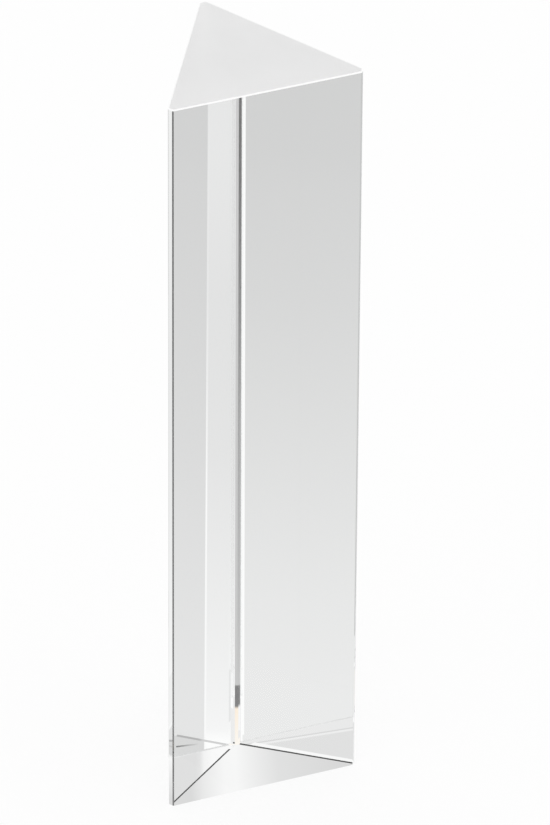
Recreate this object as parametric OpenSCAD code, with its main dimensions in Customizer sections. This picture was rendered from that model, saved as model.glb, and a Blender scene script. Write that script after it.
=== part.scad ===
// Equilateral prism for bending light and spreading it into colours.
// One block of dense flint glass: three polished faces, two fine-ground ends,
// a ground flat along each long edge and a small bevel round each end.
// It stands on its lower end. The origin is the middle of that end, +Z runs up
// its length, and the face opposite the apex edge looks towards -Y.

/* [Section] */
// Width of each of the two faces that meet at the apex edge, to the sharp corners
side_w = 25; // [15:0.5:60]
// Angle between those two faces
apex_angle = 60; // [40:1:80]
// Width of the ground flat that takes the sharpness off each long edge
edge_flat_w = 0.75; // [0.3:0.05:2]

/* [Length] */
// Length between the two ends
prism_l = 100; // [40:1:250]

/* [Ends] */
// How far the bevel round each end reaches in across the end and along the block
end_bevel = 0.15; // [0.1:0.05:0.6]

/* [Hidden] */

glass_colour = [0.86, 0.88, 0.88, 0.55];

// Triangle seen from above, with its centroid on the axis, left corner first
base_w = 2 * side_w * sin(apex_angle / 2);
section_h = side_w * cos(apex_angle / 2);
base_angle = 90 - apex_angle / 2;
corners = [
    [-base_w / 2, -section_h / 3],
    [base_w / 2, -section_h / 3],
    [0, 2 * section_h / 3]
];
corner_angles = [base_angle, base_angle, apex_angle];

// Point at a distance from one corner towards another
function towards(a, b, distance) = a + distance * (b - a) / norm(b - a);

// Distance from a sharp corner at which a flat of the set width starts
function flat_start(angle) = edge_flat_w / (2 * sin(angle / 2));

// The triangle with a flat across each corner, two points to a corner
outline = [
    for (i = [0:2], other = [i + 2, i + 1])
        towards(corners[i], corners[other % 3], flat_start(corner_angles[i]))
];

// Block that takes the bevel off one side of the upper end, from p to q
module bevel_cut(p, q) {
    overrun = 2 * end_bevel;
    side = q - p;
    translate([p.x, p.y, prism_l - end_bevel])
        rotate([0, 0, atan2(side.y, side.x)])
            rotate([45, 0, 0])
                translate([-overrun, -overrun, 0])
                    cube([norm(side) + 2 * overrun, 3 * overrun, overrun]);
}

// What is drawn at the upper end, and the same at the lower end
module at_both_ends() {
    children();
    translate([0, 0, prism_l])
        mirror([0, 0, 1])
            children();
}

module prism() {
    color(glass_colour)
        difference() {
            linear_extrude(prism_l)
                polygon(outline);
            at_both_ends()
                for (i = [0:len(outline) - 1])
                    bevel_cut(outline[i], outline[(i + 1) % len(outline)]);
        }
}

prism();
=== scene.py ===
import math

import bpy
from mathutils import Matrix, Vector


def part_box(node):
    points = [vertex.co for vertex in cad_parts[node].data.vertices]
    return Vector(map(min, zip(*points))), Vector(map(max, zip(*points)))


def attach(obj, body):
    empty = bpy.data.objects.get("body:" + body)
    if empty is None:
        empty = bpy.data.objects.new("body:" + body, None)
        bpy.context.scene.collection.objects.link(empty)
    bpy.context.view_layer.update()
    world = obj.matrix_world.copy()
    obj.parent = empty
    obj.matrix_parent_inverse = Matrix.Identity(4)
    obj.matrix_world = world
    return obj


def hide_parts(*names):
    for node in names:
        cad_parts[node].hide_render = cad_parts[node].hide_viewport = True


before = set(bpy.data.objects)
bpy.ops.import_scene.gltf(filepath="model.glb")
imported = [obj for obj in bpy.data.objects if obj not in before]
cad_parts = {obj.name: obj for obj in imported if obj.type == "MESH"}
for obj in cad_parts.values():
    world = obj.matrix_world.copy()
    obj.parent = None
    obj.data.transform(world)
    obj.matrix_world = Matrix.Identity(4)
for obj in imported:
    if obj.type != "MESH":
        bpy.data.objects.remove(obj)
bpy.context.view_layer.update()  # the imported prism, in metres, standing on its lower end
mm = 0.001
scene = bpy.context.scene
print("frame loaded")


# shared helpers

def deselectAll():
    bpy.ops.object.select_all(action="DESELECT")


def applyPlace():
    bpy.ops.object.transform_apply(location=True, rotation=True, scale=True)


def selectEdges(piece, wanted):
    bpy.ops.object.mode_set(mode="EDIT")
    bpy.ops.mesh.select_mode(type="EDGE")
    bpy.ops.mesh.select_all(action="DESELECT")
    bpy.ops.object.mode_set(mode="OBJECT")
    points = piece.data.vertices
    for edge in piece.data.edges:
        first, second = (points[i].co for i in edge.vertices)
        edge.select = wanted(first, second)
    bpy.ops.object.mode_set(mode="EDIT")


def grey(tone):
    return (tone, tone, tone, 1)


def newMaterial(name):
    material = bpy.data.materials.new(name)
    material.use_nodes = True
    return material


def shaderOf(material):
    return material.node_tree.nodes["Principled BSDF"]


def addNode(material, kind, operation=None):
    node = material.node_tree.nodes.new(kind)
    if operation:
        node.operation = operation
    return node


def setInputs(node, values):
    for socket, value in values.items():
        node.inputs[socket].default_value = value


def link(material, output, socket):
    material.node_tree.links.new(output, socket)


def showAs(material, output):
    link(material, output, material.node_tree.nodes["Material Output"].inputs["Surface"])


# finishes of the glass

glass = dict(
    index=1.85,  # dense flint
    tint=(0.985, 0.992, 0.988, 1),
    endTint=grey(0.865),
    endTintPale=grey(0.93),  # towards the rear corner of the upper end
    endTransmission=0.2,
    endRoughness=0.45,
    grainScale=2500,
    grainDepth=0.02 * mm,
    grainStrength=0.3,
    mottleScale=260,
    mottleShare=0.5,
    footTint=grey(0.99),
    footIndex=1.001,  # pressed on the floor, which shows through it
    softRoughness=0.02,
    # near-black on the left front arrises: painted shade for the dark line along that edge
    arrisPaintedShade=grey(0.03),
    # opaque white on the bevels round the upper end: a painted highlight for the bright line along the
    # upper edges
    rimPaintedHighlight=grey(1),
    rimRoughness=0.4,
)


def glassMaterial(name, tint, transmission=1, roughness=0):
    material = newMaterial(name)
    setInputs(shaderOf(material), {
        "Base Color": tint,
        "Transmission Weight": transmission,
        "Roughness": roughness,
        "IOR": glass["index"],
    })
    return material


def polishedFinish():
    return glassMaterial("polishedFace", glass["tint"])


def coatedFinish():
    material = glassMaterial("coatedFace", glass["tint"])
    setInputs(shaderOf(material), {"Specular Tint": grey(0)})  # bloomed, so no ghost images
    return material


def upperEndFinish():
    material = glassMaterial("upperEnd", glass["endTint"], glass["endTransmission"], glass["endRoughness"])
    shader = shaderOf(material)
    coords = addNode(material, "ShaderNodeTexCoord")
    grain = addNode(material, "ShaderNodeTexNoise")
    bump = addNode(material, "ShaderNodeBump")
    setInputs(grain, {"Scale": glass["grainScale"]})
    setInputs(bump, {"Distance": glass["grainDepth"], "Strength": glass["grainStrength"]})
    link(material, coords.outputs["Object"], grain.inputs["Vector"])
    link(material, grain.outputs["Fac"], bump.inputs["Height"])
    link(material, bump.outputs["Normal"], shader.inputs["Normal"])
    split = addNode(material, "ShaderNodeSeparateXYZ")
    rearward = addNode(material, "ShaderNodeMapRange")
    mottle = addNode(material, "ShaderNodeTexNoise")
    blend = addNode(material, "ShaderNodeMath", "MULTIPLY_ADD")
    tint = addNode(material, "ShaderNodeMixRGB")
    setInputs(rearward, {"From Max": block["cornerRadius"]})
    setInputs(mottle, {"Scale": glass["mottleScale"]})
    setInputs(blend, {1: glass["mottleShare"]})
    setInputs(tint, {"Color1": glass["endTint"], "Color2": glass["endTintPale"]})
    link(material, coords.outputs["Object"], split.inputs["Vector"])
    link(material, coords.outputs["Object"], mottle.inputs["Vector"])
    link(material, split.outputs["Y"], rearward.inputs["Value"])
    link(material, mottle.outputs["Fac"], blend.inputs[0])
    link(material, rearward.outputs["Result"], blend.inputs[2])
    link(material, blend.outputs[0], tint.inputs["Fac"])
    link(material, tint.outputs["Color"], shader.inputs["Base Color"])
    return material


def lowerEndFinish():
    material = glassMaterial("lowerEnd", glass["footTint"])
    setInputs(shaderOf(material), {"IOR": glass["footIndex"]})
    return material


def edgeFlatFinish():
    return glassMaterial("edgeFlat", glass["tint"])


def softEdgeFinish():
    return glassMaterial("softEdge", glass["tint"], roughness=glass["softRoughness"])


# the left front arrises are coloured near-black: painted shade for the dark line along that edge
def paintedDarkArrisFinish():
    return glassMaterial("paintedDarkArris", glass["arrisPaintedShade"], roughness=glass["softRoughness"])


# the bevels round the upper end are opaque white, not glass: a painted highlight
def rimHighlightFinish():
    return glassMaterial("upperRimHighlight", glass["rimPaintedHighlight"], transmission=0, roughness=glass["rimRoughness"])


# the glass block

nodeLow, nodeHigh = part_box("prism")
faceToAxis = -nodeLow.y
blockSides = 3
block = dict(
    length=nodeHigh.z - nodeLow.z,
    sideWidth=2 * math.sqrt(3) * faceToAxis,
    cornerRadius=2 * faceToAxis,
    frontArris=0.11 * mm,
    rearArris=0.15 * mm,
    endBevel=0.15 * mm,
    slack=0.01 * mm,  # for edges that lie level, or in the front face
)
block["edgeFlat"] = block["sideWidth"] - 2 * nodeHigh.x
faceMakers = dict(
    polishedFace=polishedFinish,
    coatedFace=coatedFinish,
    upperEnd=upperEndFinish,
    lowerEnd=lowerEndFinish,
    edgeFlat=edgeFlatFinish,
    softEdge=softEdgeFinish,
    paintedDarkArris=paintedDarkArrisFinish,
    upperRimHighlight=rimHighlightFinish,
)
faceKinds = list(faceMakers)
normalLimits = dict(end=0.9, bevel=0.5, rearAside=0.8, rearBack=0.4)  # least shares of a face's normal


def isUpright(first, second):
    return abs(first.z - second.z) > block["length"] / 2


def isLeftUpright(first, second):
    return isUpright(first, second) and first.x < 0 and first.y < block["slack"] - faceToAxis


def isSideUpright(first, second):
    return isUpright(first, second) and first.y < 0 and not isLeftUpright(first, second)


def isRearUpright(first, second):
    return isUpright(first, second) and first.y > 0


def isLevel(first, second):
    return abs(first.z - second.z) < block["slack"]


def grindEdges(prism, wanted, offsetType, offset, kind):
    selectEdges(prism, wanted)
    bpy.ops.mesh.bevel(
        offset_type=offsetType, offset=offset, segments=1, material=faceKinds.index(kind),
    )
    bpy.ops.object.mode_set(mode="OBJECT")


def kindOfFace(face):
    normal = face.normal
    if normal.z > normalLimits["end"]:
        return "upperEnd"
    # the bevels round the upper end take the painted white highlight
    if normal.z > normalLimits["bevel"]:
        return "upperRimHighlight"
    if -normal.z > normalLimits["end"]:
        return "lowerEnd"
    if min(-normal.z, normal.y) > normalLimits["bevel"]:
        return "lowerEnd"  # the bevel below the rear edge
    if abs(normal.x) > normalLimits["rearAside"] and normal.y > normalLimits["rearBack"]:
        return "coatedFace"  # the two faces at the rear
    return faceKinds[face.material_index]


def makeBlock():
    deselectAll()
    bpy.ops.mesh.primitive_cylinder_add(
        vertices=blockSides,
        radius=block["cornerRadius"],
        depth=block["length"],
        location=(0, 0, block["length"] / 2),
    )
    prism = bpy.context.object
    prism.name = "glassPrism"
    applyPlace()
    for makeFinish in faceMakers.values():
        prism.data.materials.append(makeFinish())
    grindEdges(prism, isUpright, "WIDTH", block["edgeFlat"], "edgeFlat")
    grindEdges(prism, isSideUpright, "OFFSET", block["frontArris"], "softEdge")
    # the left front arrises take the near-black painted shade
    grindEdges(prism, isLeftUpright, "OFFSET", block["frontArris"], "paintedDarkArris")
    grindEdges(prism, isRearUpright, "OFFSET", block["rearArris"], "softEdge")
    grindEdges(prism, isLevel, "OFFSET", block["endBevel"], "softEdge")
    for face in prism.data.polygons:
        face.material_index = faceKinds.index(kindOfFace(face))
    return prism


prism = makeBlock()
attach(prism, "root")
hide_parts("prism")
print("glass block:", len(prism.data.polygons), "faces")


# floor, with a pit under the glass for the mats that its foot shows

floorPlan = dict(
    reach=6.0,
    gap=0.05 * mm,
    lip=0.15 * mm,  # of floor under the rim of the glass
    pit=15 * mm,
    paint=grey(0.92),
    roughness=0.9,
    glow=0.9,
)


def floorFinish():
    material = newMaterial("paleFloor")
    shader = shaderOf(material)
    setInputs(shader, {
        "Base Color": floorPlan["paint"],
        "Roughness": floorPlan["roughness"],
        "Specular IOR Level": 0,
    })
    path = addNode(material, "ShaderNodeLightPath")
    seen = addNode(material, "ShaderNodeMath", "MAXIMUM")
    either = addNode(material, "ShaderNodeMath", "MAXIMUM")
    share = addNode(material, "ShaderNodeMath", "MULTIPLY")
    glow = addNode(material, "ShaderNodeEmission")
    mix = addNode(material, "ShaderNodeMixShader")
    setInputs(share, {1: floorPlan["glow"]})
    link(material, path.outputs["Is Camera Ray"], seen.inputs[0])
    link(material, path.outputs["Is Glossy Ray"], seen.inputs[1])
    link(material, seen.outputs[0], either.inputs[0])
    link(material, path.outputs["Is Transmission Ray"], either.inputs[1])
    link(material, either.outputs[0], share.inputs[0])
    link(material, share.outputs[0], mix.inputs["Fac"])
    link(material, shader.outputs["BSDF"], mix.inputs[1])
    link(material, glow.outputs["Emission"], mix.inputs[2])
    showAs(material, mix.outputs["Shader"])
    return material


def makeSheet(name, level):
    deselectAll()
    pitRadius = block["cornerRadius"] - 2 * floorPlan["lip"]  # to the pit's corners
    spread = floorPlan["reach"] / pitRadius
    bpy.ops.mesh.primitive_circle_add(vertices=blockSides, radius=pitRadius, location=(0, 0, level))
    sheet = bpy.context.object
    sheet.name = name
    applyPlace()
    bpy.ops.object.mode_set(mode="EDIT")
    bpy.ops.mesh.select_all(action="SELECT")
    bpy.ops.mesh.extrude_edges_move()
    bpy.ops.transform.resize(value=(spread, spread, 1), center_override=(0, 0, 0))
    bpy.ops.object.mode_set(mode="OBJECT")
    return sheet


def makeFloor():
    floor = makeSheet("floor", -floorPlan["gap"])
    floor.data.materials.append(floorFinish())


makeFloor()
print("floor: pit", floorPlan["pit"] / mm, "mm deep")


# mats that only the glass sees, glowing sheets whose tones are painted light and shade: the floor's light
# and shade as the glass shows it, painted reflections, and dark and pale lines; places in mm, headings in
# degrees from +Y towards +X
# tones run along a mat, from its left to its right where across is set, or outwards where around is
# trim is the heading of the face of the block that a mat is cut along

viewHeading = 21.28  # of the light that comes through the rear edge to the camera
# its tones are a painted pool of light round the glass: paler near it, greyer further out and white far off
sheetMat = dict(
    name="sheetMat", at=(0, 0), heading=0, around=True,
    tones=[(10, 0.84), (32, 0.8), (65, 0.74), (100, 0.67),
           (136, 0.63), (300, 0.58), (800, 0.65), (2500, 1)],
)
mats = [
    # left of the strip at the rear edge
    dict(name="paleSide", at=(9.6, 14.6), heading=76, back=0, length=200, left=3, right=3,
         tones=[(0, 0.92), (21, 0.85), (54, 0.77), (89, 0.75), (130, 0.8)]),
    # the flat at the left front edge
    dict(name="paleBeside", at=(8.0, 22.0), heading=21, back=0, length=250, left=2.5, right=5,
         tones=[(0, 0.98), (8, 0.935), (40, 0.86), (70, 0.835), (127, 0.9)]),
    # the grey band at the left, the pale band beside it and the line between them
    dict(name="matRight", at=(8.6, 19.0), heading=38.75, back=30, length=300, left=0, right=7, trim=60,
         tones=[(0, 0.775), (21, 0.755), (54, 0.705), (89, 0.665), (126, 0.635)]),
    dict(name="matNearRight", at=(6.4, 11.2), heading=-68, back=3, length=7, left=6, right=0, trim=60,
         tones=[(0, 0.67), (7, 0.67)]),
    dict(name="matPale", at=(2.34, 11.2), heading=38.75, back=4, length=310, left=3.4, right=0, trim=60,
         tones=[(1.5, 1), (4, 0.925), (10, 0.9), (31, 0.85), (64, 0.78), (99, 0.765), (136, 0.81)]),
    dict(name="paleLine", at=(8.6, 19.0), heading=38.75, back=10, length=300, left=0.22, right=0, trim=60,
         tones=[(0, 0.97), (43, 0.97), (89, 0.82), (126, 0.82)]),
    # the right front edge
    dict(name="edgeRight", at=(-6.5, 9.9), heading=-43.4, back=4, length=150, left=1.2, right=1.8, trim=-60,
         tones=[(0, 0.55), (100, 0.55)]),
    # the wide band at the right and the white line at its left
    dict(name="matLeft", at=(-10.35, 1.02), heading=-81.86, back=10, length=300, left=0.8, right=18,
         trim=-60, tones=[(1, 0.825), (22, 0.805), (55, 0.74), (90, 0.675), (126, 0.635)]),
    dict(name="whiteBeside", at=(-1.91, 13.86), heading=-81.34, back=0, length=150, left=0.18, right=0.3,
         tones=[(0, 1), (150, 1)]),
    # mirrored beside the strip at the rear edge
    dict(name="matFront", at=(0, 0), heading=158.7, back=20, length=200, left=14, right=18, trim=180,
         tones=[(8, 0.96), (28, 0.92), (50, 0.86), (95, 0.82), (140, 0.85), (200, 0.62)]),
    dict(name="whiteFront", at=(0, 0), heading=-158.7, back=-9, length=200, left=3, right=5,
         tones=[(0, 1), (100, 1)]),
    dict(name="paleFront", at=(0, 0), heading=-158.7, back=-9, length=200, left=3, right=0.65,
         tones=[(15, 0.9), (61, 0.76), (136, 0.76)]),
    # the dark line at the right of that strip
    dict(name="asideNear", at=(0, 14.5), heading=-17.45, back=-2, length=69, left=0.9, right=0.4,
         tones=[(6.9, 0.93), (7.5, 0.07), (11.3, 0.07), (11.6, 0.48), (29, 0.4), (69, 0.28)]),
    dict(name="asideFar", at=(-20.64, 80.35), heading=-14.47, back=0, length=85, left=0.9, right=0.4,
         tones=[(0, 0.28), (28, 0.1), (56, 0.02), (64, 0.01)]),
    # the strip itself, warm at its foot
    dict(name="stripFar", at=(0, 13.78), heading=viewHeading, back=-12.4, length=160, left=0.5, right=1.4,
         tones=[(0, 0.5), (100, 0.55)]),
    dict(name="stripDark", at=(5.1, 26.3), heading=21.31, back=0, length=140, left=0.12, right=0.5,
         tones=[(0, 0.48), (17, 0.42), (39, 0.34), (85, 0.17), (120, 0.05)]),
    dict(name="stripNear", at=(0, 13.78), heading=viewHeading, back=0, length=12.4, left=0.5, right=0.5,
         tones=[(0, (1, 0.95, 0.88)), (7.4, (1, 0.86, 0.7)), (8, 0.07), (12.2, 0.07), (12.4, 0.5)]),
    # the lines at the foot of the left band
    dict(name="footLine", at=(6.6, 11.15), heading=-68, back=0, length=6.5, left=0.2, right=0.2,
         tones=[(0, 0.42), (2.9, 0.42), (3.3, 0.6), (6.5, 0.6)]),
    dict(name="footLoop", at=(5.2, 9.3), heading=-39, back=0, length=2.8, left=0.15, right=0.15,
         tones=[(0, 0.1), (1.2, 0.35), (2.8, 0.65)]),
]
# mats under the glass, glowing sheets whose tones are painted light and shade, with painted lines, that the
# foot shows
pitMats = [
    # the foot
    dict(name="pitFoot", at=(-2.0, 40.4), heading=8.5, back=8, length=22, left=4, right=25, across=True,
         tones=[(0.5, 0.68), (2.2, 0.81), (5, 0.935), (6.5, 0.94),
                (9, 0.84), (12, 0.735), (15, 0.71), (20, 0.67)]),
    # the wedge at its right, with a pale stripe
    dict(name="pitRight", at=(-51.0, 23.2), heading=17, back=14, length=14, left=0, right=27, across=True,
         tones=[(0, 0.815), (7.6, 0.815), (7.7, 0.66), (8.1, 0.66),
                (8.3, 0.86), (8.9, 0.86), (9.3, 0.735), (20, 0.735)]),
    dict(name="pitStripe", at=(-36.4, 18.9), heading=150, back=10, length=16, left=0.5, right=0.5,
         tones=[(0, 0.96), (16, 0.96)]),
    # the lower end of the rear edge
    dict(name="pitFront", at=(-7.1, -32.7), heading=-170.4, back=4, length=22, left=20, right=0.5,
         tones=[(0, 0.84), (22, 0.84)]),
    # the wedge at the left and the lower end of the left front edge
    dict(name="pitLeft", at=(32.7, 41.0), heading=50.4, back=22, length=8, left=2, right=9, across=True,
         tones=[(0, 0.96), (2.7, 0.96), (3.8, 0.9), (4.3, 0.77), (4.9, 0.725), (9, 0.72)]),
    dict(name="pitEdge", at=(31.5, 39.5), heading=-137, back=1, length=20, left=0.9, right=0.9,
         tones=[(0, 0.93), (5, 0.86), (11, 0.78), (16, 0.7)]),
]


def rampPlace(material, mat):
    coords = addNode(material, "ShaderNodeTexCoord")
    mapping = addNode(material, "ShaderNodeMapping")
    mapping.vector_type = "TEXTURE"
    setInputs(mapping, {
        "Location": (mat["at"][0] * mm, mat["at"][1] * mm, 0),
        "Rotation": (0, 0, -math.radians(mat["heading"])),
    })
    link(material, coords.outputs["Object"], mapping.inputs["Vector"])
    if mat.get("around"):
        away = addNode(material, "ShaderNodeVectorMath", "LENGTH")
        link(material, mapping.outputs["Vector"], away.inputs[0])
        return away.outputs["Value"]
    split = addNode(material, "ShaderNodeSeparateXYZ")
    link(material, mapping.outputs["Vector"], split.inputs["Vector"])
    return split.outputs["X" if mat.get("across") else "Y"]


# a mat glows with its painted tones of light and shade, which only the glass shows
def rampFinish(mat):
    material = newMaterial(mat["name"])
    share = addNode(material, "ShaderNodeMapRange")
    ramp = addNode(material, "ShaderNodeValToRGB")
    glow = addNode(material, "ShaderNodeEmission")
    reach = mat["tones"][-1][0]
    setInputs(share, {"From Max": reach * mm})
    stops = ramp.color_ramp.elements
    while len(stops) < len(mat["tones"]):
        stops.new(1)
    for stop, (place, tone) in zip(stops, mat["tones"]):
        stop.position = place / reach
        stop.color = (*tone, 1) if isinstance(tone, tuple) else grey(tone)
    link(material, rampPlace(material, mat), share.inputs["Value"])
    link(material, share.outputs["Result"], ramp.inputs["Fac"])
    link(material, ramp.outputs["Color"], glow.inputs["Color"])
    showAs(material, glow.outputs["Emission"])
    return material


def hideProp(piece, finish):
    piece.data.materials.append(finish)
    piece.visible_camera = False
    piece.visible_diffuse = False
    piece.visible_shadow = False


def trimMat(heading):
    outward = Vector((math.sin(heading), math.cos(heading), 0))
    bpy.ops.object.mode_set(mode="EDIT")
    bpy.ops.mesh.select_all(action="SELECT")
    bpy.ops.mesh.bisect(plane_co=outward * faceToAxis, plane_no=outward, clear_inner=True)
    bpy.ops.object.mode_set(mode="OBJECT")


def makeMat(mat, level):
    deselectAll()
    width = (mat["left"] + mat["right"]) * mm
    length = (mat["back"] + mat["length"]) * mm
    aside = (mat["right"] - mat["left"]) / 2 * mm
    ahead = (mat["length"] - mat["back"]) / 2 * mm
    bpy.ops.mesh.primitive_plane_add(size=1)
    piece = bpy.context.object
    piece.name = mat["name"]
    foot = Matrix.Translation((mat["at"][0] * mm, mat["at"][1] * mm, level))
    turn = Matrix.Rotation(-math.radians(mat["heading"]), 4, "Z")
    middle = Matrix.Translation((aside, ahead, 0))
    piece.matrix_world = foot @ turn @ middle @ Matrix.Diagonal((width, length, 1, 1))
    applyPlace()
    if "trim" in mat:
        trimMat(math.radians(mat["trim"]))
    hideProp(piece, rampFinish(mat))


stepUp = floorPlan["gap"] / (len(mats) + 2)  # later mats lie on earlier ones
hideProp(makeSheet(sheetMat["name"], stepUp - floorPlan["gap"]), rampFinish(sheetMat))
for step, mat in enumerate(mats):
    makeMat(mat, (step + 2) * stepUp - floorPlan["gap"])
for step, mat in enumerate(pitMats):
    makeMat(mat, (step + 1) * stepUp - floorPlan["pit"])
print("mats:", len(mats), "on the floor and", len(pitMats), "under the glass")


# flags that only the glass sees, all at one distance: glowing black and grey sheets that paint dark and
# grey reflections in the glass

flagDistance = 500 * mm
flags = [
    dict(name="blackFlag", heading=37.2, rise=38.0, size=110 * mm, tone=0),
    dict(name="leftFlag", heading=-78.0, rise=11.8, size=60 * mm, tone=0.85),
    dict(name="rightFlag", heading=42.8, rise=11.4, size=60 * mm, tone=0.8),
]


def makeFlag(flag):
    deselectAll()
    heading = math.radians(flag["heading"])
    rise = math.radians(flag["rise"])
    aim = Vector((
        math.sin(heading) * math.cos(rise),
        math.cos(heading) * math.cos(rise),
        math.sin(rise),
    ))
    bpy.ops.mesh.primitive_plane_add(
        size=flag["size"], location=aim * flagDistance, rotation=aim.to_track_quat("Z", "Y").to_euler(),
    )
    piece = bpy.context.object
    piece.name = flag["name"]
    applyPlace()
    material = newMaterial(flag["name"])
    glow = addNode(material, "ShaderNodeEmission")
    setInputs(glow, {"Color": grey(flag["tone"])})
    showAs(material, glow.outputs["Emission"])
    hideProp(piece, material)


for flag in flags:
    makeFlag(flag)
print("flags:", len(flags))


# light

def makeWorld():
    world = bpy.data.worlds.new("softStudio")
    world.use_nodes = True
    setInputs(world.node_tree.nodes["Background"], {"Color": grey(1), "Strength": 1})
    scene.world = world


makeWorld()
scene.view_settings.view_transform = "Standard"
print("light: even and white")


# camera

cameraPlan = dict(
    azimuth=-21.58,
    elevation=34.34,
    roll=0.394,
    distance=1.1064,
    focalPixels=9286,
    framePixels=825,
    sensor=36,
    reach=10,
    aside=3.738 * mm,
    above=0.353 * mm,
)


def makeCamera():
    azimuth, elevation, roll = (math.radians(cameraPlan[k]) for k in ("azimuth", "elevation", "roll"))
    back = Vector((
        math.sin(azimuth) * math.cos(elevation),
        -math.cos(azimuth) * math.cos(elevation),
        math.sin(elevation),
    ))
    turn = (-back).to_track_quat("-Z", "Y").to_matrix() @ Matrix.Rotation(roll, 3, "Z")
    middle = Vector((0, 0, block["length"] / 2))
    place = middle + back * cameraPlan["distance"]
    place += turn.col[0] * cameraPlan["aside"] + turn.col[1] * cameraPlan["above"]
    bpy.ops.object.camera_add()
    camera = bpy.context.object
    camera.data.sensor_width = cameraPlan["sensor"]
    camera.data.lens = cameraPlan["sensor"] * cameraPlan["focalPixels"] / cameraPlan["framePixels"]
    camera.data.clip_end = cameraPlan["reach"]
    camera.matrix_world = Matrix.Translation(place) @ turn.to_4x4()
    scene.camera = camera


makeCamera()
print("camera: azimuth", cameraPlan["azimuth"], "elevation", cameraPlan["elevation"])
